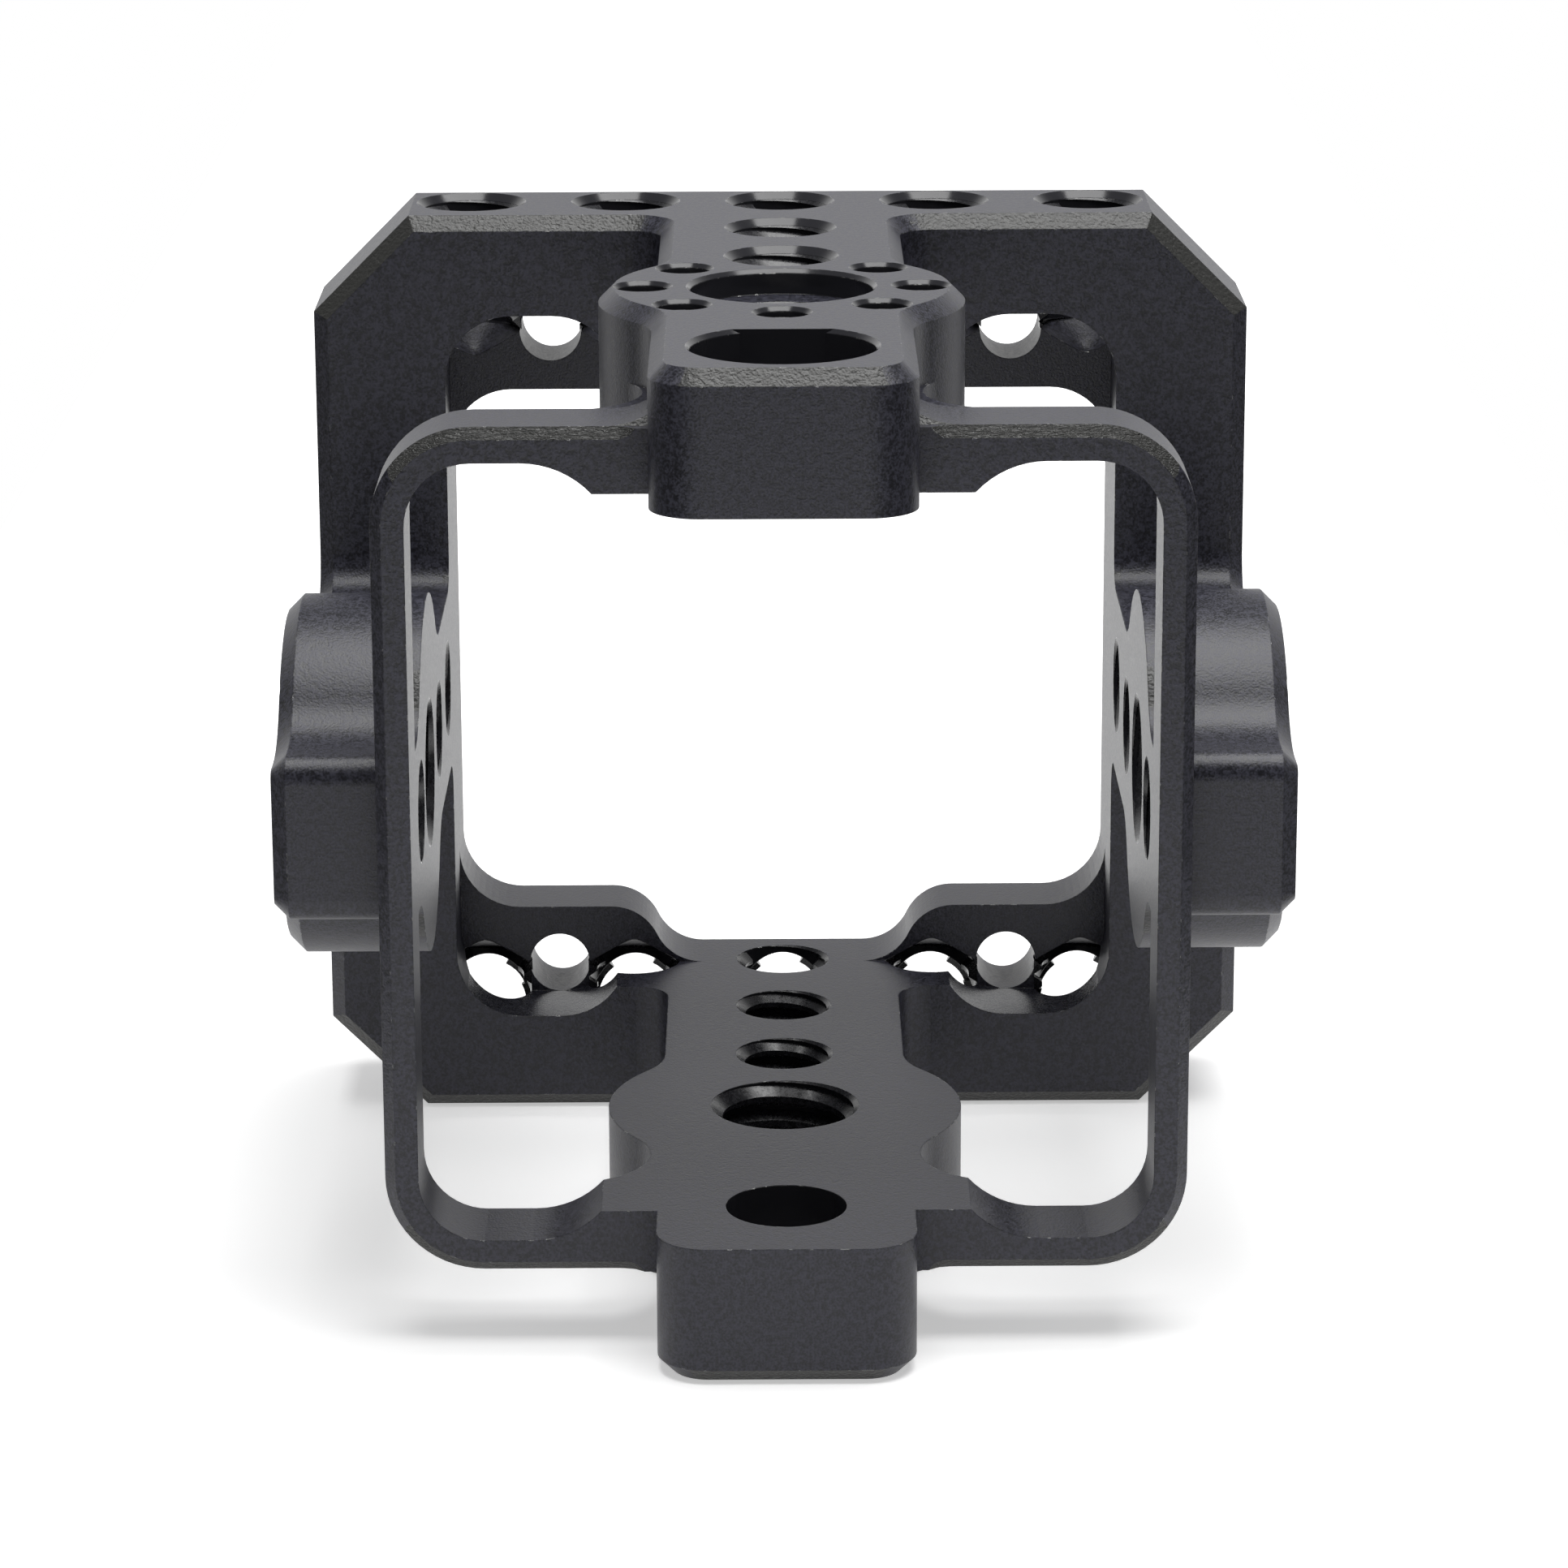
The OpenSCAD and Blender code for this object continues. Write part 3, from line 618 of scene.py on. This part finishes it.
# %% Black anodised
anodised, tree, shader, position = new_material("black_anodised")
grain = placed(tree, grain_group, position, Pits_per_mm=7.0)
edges = placed(tree, edge_group, position, Radius_m=0.00011, Nicks=0.5)
cutter = placed(tree, cutter_group, position)
drilled = placed(tree, drilled_group, position)
skin = blended(tree, grain.outputs["Speckle"], (0.004, 0.004, 0.008, 1), (0.042, 0.042, 0.06, 1))
skin = blended(tree, cutter.outputs["Bevel"], skin, (0.035, 0.035, 0.033, 1))
skin = blended(tree, drilled.outputs["Wall"], skin, (0.022, 0.022, 0.026, 1))
skin = blended(tree, edges.outputs["Nick"], skin, (0.45, 0.45, 0.44, 1))
tree.links.new(skin, shader.inputs["Base Color"])
gloss = ramp(tree, grain.outputs["Speckle"], 0.0, 1.0, 0.36, 0.44)
smooth = math_node(tree, "SUBTRACT", 1.0, math_node(tree, "MULTIPLY", drilled.outputs["Wall"], 0.6))
tree.links.new(math_node(tree, "MULTIPLY", gloss, smooth), shader.inputs["Roughness"])
tree.links.new(math_node(tree, "MULTIPLY", edges.outputs["Nick"], 0.6), shader.inputs["Metallic"])
shader.inputs["Specular IOR Level"].default_value = 0.45
rough = math_node(tree, "ADD", grain.outputs["Height"], cutter.outputs["Height"])
calm = math_node(tree, "SUBTRACT", 1.0, drilled.outputs["Wall"])
rough = math_node(tree, "MULTIPLY", rough, calm)
give_relief(tree, shader, 0.00003, rough, edges.outputs["Normal"])
print("material:", anodised.name)

# %% [markdown]
# The threads are cut after the blasting, so they have no pits. Their skin is the
# same black, but smoother, and the grain only shifts its gloss a little.

# %% Tapped holes
tapped, tree, shader, position = new_material("tapped_black")
grain = placed(tree, grain_group, position, Pits_per_mm=5.0)
skin = blended(tree, grain.outputs["Speckle"], (0.012, 0.012, 0.014, 1), (0.02, 0.02, 0.024, 1))
tree.links.new(skin, shader.inputs["Base Color"])
tree.links.new(ramp(tree, grain.outputs["Speckle"], 0.0, 1.0, 0.2, 0.3), shader.inputs["Roughness"])
give_relief(tree, shader, 0.000002, grain.outputs["Height"])
print("material:", tapped.name)

# %% [markdown]
# ## Steel
#
# The countersunk screws in the tenons have a black oxide skin, which is thin, so
# steel shows through as a dark sheen with brownish patches. In the record the dowel
# pins are bright, ground steel. Here they wear the arms' black instead, because in
# the solids four of them break 0.1 mm through the arms' side walls. That is a fault
# of the solids, which the finish makes hard to see and doesn't mend.

# %% Black oxide steel
oxide, tree, shader, position = new_material("black_oxide_steel")
grain = placed(tree, grain_group, position, Pits_per_mm=9.0)
edges = placed(tree, edge_group, position, Radius_m=0.00006, Nicks=0.9)
skin = blended(tree, grain.outputs["Speckle"], (0.035, 0.033, 0.032, 1), (0.06, 0.055, 0.05, 1))
skin = blended(tree, edges.outputs["Nick"], skin, (0.35, 0.35, 0.35, 1))
tree.links.new(skin, shader.inputs["Base Color"])
gloss = ramp(tree, grain.outputs["Speckle"], 0.0, 1.0, 0.3, 0.45)
tree.links.new(gloss, shader.inputs["Roughness"])
shader.inputs["Metallic"].default_value = 0.85
give_relief(tree, shader, 0.000006, grain.outputs["Height"], edges.outputs["Normal"])
print("material:", oxide.name)

# %% [markdown]
# Each solid gets one finish. The screws are known by the ends of their names.

# %% Dress the solids
for name, thing in nodes.items():
    finish = oxide if name.endswith("_screw") else anodised
    thing.data.materials.clear()
    thing.data.materials.append(finish)
print("dressed", len(nodes), "solids")

# %% [markdown]
# ## Threads
#
# Most holes of the cage are tapped: quarter inch and three eighths inch for camera
# screws, and 3 mm in the circles round the bosses. The CAD solids have plain bores
# there, because a helix would only slow their checks. A tap leaves a ridge that
# winds down the hole. It is swept here as a four-cornered profile that climbs one
# pitch a turn. Near either mouth the ridge is cut back at 45 degrees, as the
# countersink cuts it, so it rises out of the wall and sinks back into it. Where
# another hole breaks through the wall, the ridge stops and starts again.

# %% Thread ridge
INCH = 25.4
QUARTER_PITCH = INCH / 20
LARGE_PITCH = INCH / 16
SMALL_PITCH = 0.5
RIDGE_H_SHARE = 0.45
ROOT_HALF_SHARE = 0.4375
CREST_HALF_SHARE = 0.125
STEPS_PER_TURN = 40
SUNK = 0.02
QUARTER_PHASE = math.radians(-73)
LARGE_PHASE = math.radians(36)
LEAST_SHARE = 0.03


def ridge_ring(angle, along, bore_r, pitch, near, far):
    """The four corners of the ridge at one angle, or None where the mouths leave nothing.

    All in mm. near and far are where the hole's wall starts and ends. From there both mouths
    open at 45 degrees, so a crest that stands s of the ridge's height from the
    wall starts that much later and ends that much sooner.
    """
    height = RIDGE_H_SHARE * pitch
    root, crest = ROOT_HALF_SHARE * pitch, CREST_HALF_SHARE * pitch
    closing = height + root - crest
    s = min(1, (far - along + root) / closing, (along + root - near) / closing)
    if s < LEAST_SHARE:
        return None
    corners = []
    for share, r in ((0, bore_r + SUNK), (s, bore_r - s * height)):
        half = root - share * (root - crest)
        low = max(along - half, near + share * height)
        high = min(along + half, far - share * height)
        corners.append((r, min(low, (low + high) / 2), max(high, (low + high) / 2)))
    (root_r, root_low, root_high), (top_r, top_low, top_high) = corners
    c, s = math.cos(angle), math.sin(angle)
    return [
        Vector((root_r * c, root_r * s, root_low)),
        Vector((top_r * c, top_r * s, top_low)),
        Vector((top_r * c, top_r * s, top_high)),
        Vector((root_r * c, root_r * s, root_high)),
    ]


def add_thread(bm, to_frame, bore_r, mouth_r, depth, pitch, phase=0.0, missing=None):
    """Winds a right-hand ridge down a hole that runs from z = 0 towards +z, in mm."""
    near, far = mouth_r - bore_r, depth
    hand = 1 if to_frame.determinant() > 0 else -1
    runs = [[]]
    for i in range(int((depth / pitch + 1) * STEPS_PER_TURN) + 1):
        angle = hand * 2 * math.pi * i / STEPS_PER_TURN + phase
        along = pitch * (i / STEPS_PER_TURN - 0.5)
        wall = Vector((bore_r * math.cos(angle), bore_r * math.sin(angle), along))
        ring = ridge_ring(angle, along, bore_r, pitch, near, far)
        if ring is None or (missing and missing(wall, pitch)):
            runs.append([])
        else:
            runs[-1].append(ring)
    for run in runs:
        if len(run) < 2:
            continue
        rings = [[bm.verts.new(to_frame @ (v * MM)) for v in ring] for ring in run]
        bm.faces.new(rings[0])
        bm.faces.new(rings[-1][::-1])
        for one, two in zip(rings, rings[1:]):
            for k in range(4):
                bm.faces.new((one[k], one[(k + 1) % 4], two[(k + 1) % 4], two[k]))


pitches = (QUARTER_PITCH, LARGE_PITCH, SMALL_PITCH)
print("ridge heights:", [round(RIDGE_H_SHARE * p, 2) for p in pitches])

# %% [markdown]
# Every hole is placed on one of four sides. Each side has its own axes, so that one
# function can lay out the holes of all of them.

# %% The four sides
# Each side's own axes: across, back and inwards, from the middle of its outer face
SIDES = {
    "top": ((1, 0, 0), (0, 1, 0), (0, 0, -1), (0, 0, MID_Z + HALF)),
    "bottom": ((1, 0, 0), (0, 1, 0), (0, 0, 1), (0, 0, MID_Z - HALF)),
    "left": ((0, 0, 1), (0, 1, 0), (1, 0, 0), (-HALF, 0, MID_Z)),
    "right": ((0, 0, 1), (0, 1, 0), (-1, 0, 0), (HALF, 0, MID_Z)),
}


def hole_frame(side, across, back, sink=0.0):
    """The frame of a hole on that side: its mouth at the origin and its way in along +z."""
    x, y, z, origin = (Vector(v) for v in SIDES[side])
    place = origin + across * x + back * y + sink * z
    axes = Matrix((x, y, z)).transposed()
    return Matrix.Translation(place * MM) @ axes.to_4x4()


print("sides:", list(SIDES))

# %% [markdown]
# Each rail's ridges are one piece. The top boss has a recess, and its quarter inch
# thread starts below it. The other bosses have a three eighths inch thread, and the
# side rails have one more quarter inch hole in their lugs.

# %% Threads of the rails
def thread_piece(name, fill):
    """A new piece that fill() winds its ridges into."""
    bm = bmesh.new()
    fill(bm)
    bmesh.ops.recalc_face_normals(bm, faces=bm.faces)
    mesh = bpy.data.meshes.new(name)
    bm.to_mesh(mesh)
    bm.free()
    mesh.set_sharp_from_angle(angle=math.radians(35))
    mesh.shade_smooth()
    mesh.materials.append(tapped)
    piece = bpy.data.objects.new(name, mesh)
    bpy.context.scene.collection.objects.link(piece)
    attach(piece, "root")


def rail_threads(side, large_boss, eighths):
    """The threads of one rail, with small holes at the given eighths of a turn."""

    def fill(bm):
        for back in (ROW_Y - PITCH, ROW_Y - 2 * PITCH):
            hole = hole_frame(side, 0, back)
            add_thread(bm, hole, QUARTER_R, QUARTER_MOUTH_R, WALL, QUARTER_PITCH, QUARTER_PHASE)
        if large_boss:
            hole = hole_frame(side, 0, BOSS_Y)
            add_thread(bm, hole, LARGE_R, LARGE_MOUTH_R, WALL, LARGE_PITCH, LARGE_PHASE)
        else:
            hole = hole_frame(side, 0, BOSS_Y, RECESS_T)
            add_thread(bm, hole, QUARTER_R, QUARTER_R, WALL - RECESS_T, QUARTER_PITCH)
        if side in ("left", "right"):
            hole = hole_frame(side, 0, LUG_Y)
            add_thread(bm, hole, QUARTER_R, QUARTER_MOUTH_R, WALL, QUARTER_PITCH)
        for eighth in eighths:
            a = math.radians(45 * eighth)
            x, y = SMALL_CIRCLE_R * math.cos(a), BOSS_Y + SMALL_CIRCLE_R * math.sin(a)
            hole = hole_frame(side, x, y, SMALL_SINK)
            add_thread(bm, hole, SMALL_R, SMALL_R, SMALL_DEPTH - SMALL_SINK, SMALL_PITCH)

    thread_piece(side + "_rail_threads", fill)


rail_threads("top", False, (0, 1, 3, 4, 5, 6, 7))
rail_threads("bottom", True, (0, 1, 3, 4, 5, 6, 7))
rail_threads("left", True, (0, 1, 3, 4, 5, 7))
rail_threads("right", True, (0, 1, 3, 4, 5, 7))

# %% [markdown]
# In the rear frame each hole of the outer rows crosses a hole from the back face.
# The two share a void, so each thread leaves out what would hang in it.

# %% Threads of the rear frame
BACK_HOLE_DEPTH = 5.5
BACK_HOLE_IN = WALL / 2 + 0.6
BACK_MOUTH_R = 3.3
POCKET_CUT = 2.0
POCKET_R = 4.3
EAR_Y = 25.0
MARGIN = 0.15


def bay_depth(x, y):
    """How far in from the outer face the wall reaches, past the pocket in front of an ear."""
    x = abs(x)
    if y > EAR_Y or x > POCKET_FAR:
        return WALL + 2
    centre = min(max(x, POCKET_NEAR + POCKET_R), POCKET_FAR - POCKET_R)
    off = abs(x - centre)
    if x < POCKET_NEAR or off >= POCKET_R:
        return WALL
    return min(WALL, WALL - POCKET_CUT + POCKET_R - math.sqrt(POCKET_R**2 - off**2))


def void_of_back_hole(p, pitch):
    """Whether the wall of a row hole at p is open to the hole from the back."""
    reach = QUARTER_R**2 - p.x**2
    return p.y > 0 and abs(p.z - BACK_HOLE_IN) < math.sqrt(max(reach, 0)) + pitch / 2 + MARGIN


def void_of_row_hole(p, pitch):
    """Whether the wall of a back hole at p is open to the hole of the row."""
    reach = math.sqrt(max(QUARTER_R**2 - p.x**2, 0))
    return p.z > (HALF - ROW_Y) - reach - pitch / 2 - MARGIN


def rear_threads(bm):
    """The threads of the rows and of the holes that cross them from the back."""
    for side in ("top", "bottom"):
        x, y, z, origin = (Vector(v) for v in SIDES[side])
        for i in (-2, -1, 0, 1, 2):

            def missing(p, pitch, i=i):
                past = p.z + ROOT_HALF_SHARE * pitch > bay_depth(i * PITCH + p.x, ROW_Y + p.y)
                return past or void_of_back_hole(p, pitch)

            hole = hole_frame(side, i * PITCH, ROW_Y)
            add_thread(
                bm,
                hole,
                QUARTER_R,
                QUARTER_MOUTH_R,
                WALL,
                QUARTER_PITCH,
                QUARTER_PHASE,
                void_of_back_hole if i == 0 else missing,
            )
            back_axes = Matrix((x, z, -y)).transposed()
            place = origin + i * PITCH * x + HALF * y + BACK_HOLE_IN * z
            to_frame = Matrix.Translation(place * MM) @ back_axes.to_4x4()
            add_thread(
                bm,
                to_frame,
                QUARTER_R,
                BACK_MOUTH_R,
                BACK_HOLE_DEPTH,
                QUARTER_PITCH,
                missing=void_of_row_hole,
            )


thread_piece("rear_frame_threads", rear_threads)
